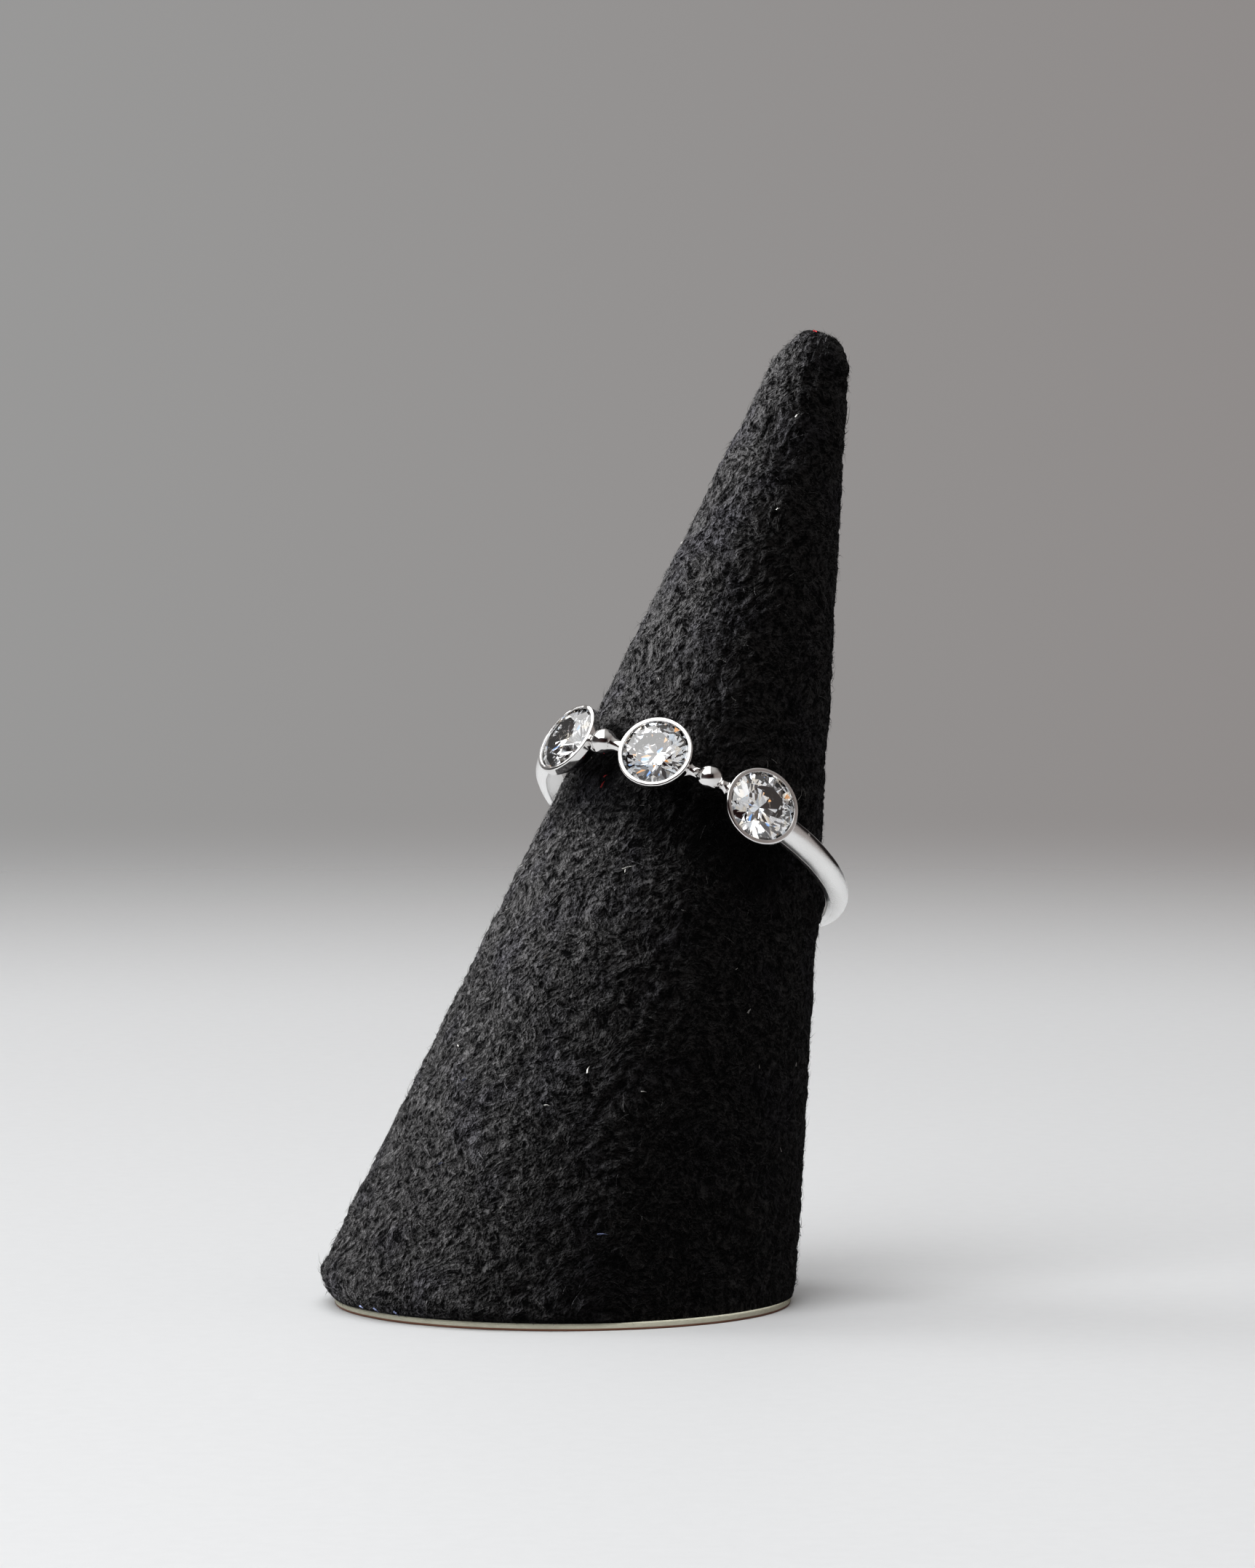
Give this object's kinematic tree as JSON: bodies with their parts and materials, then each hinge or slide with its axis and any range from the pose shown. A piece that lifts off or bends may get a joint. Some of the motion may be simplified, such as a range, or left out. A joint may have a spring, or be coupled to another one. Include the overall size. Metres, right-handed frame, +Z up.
{
  "type": "three-stone bezel ring on a suede ring display cone",
  "caption": "Slim white metal finger ring with round stones in rub-over bezels joined by small beads, held on a leaning suede display cone with a thin base card.",
  "frame": {"origin": "centre of the base card's underside, on the table", "axes": "+Z up, +X to the right and +Y away as seen from the side that shows the stones"},
  "size_m": [0.0295, 0.0276, 0.0541],
  "materials": {
    "white_gold": "polished white gold with a rhodium finish",
    "stone": "clear faceted brilliant",
    "suede": "charcoal suede with a short brushed nap",
    "card": "ivory card, matte"
  },
  "bodies": {
    "root": {"ring_setting": "white_gold", "stone_left": "stone", "stone_centre": "stone", "stone_right": "stone", "suede_cone": "suede", "base_card": "card"}
  },
  "joints": []
}
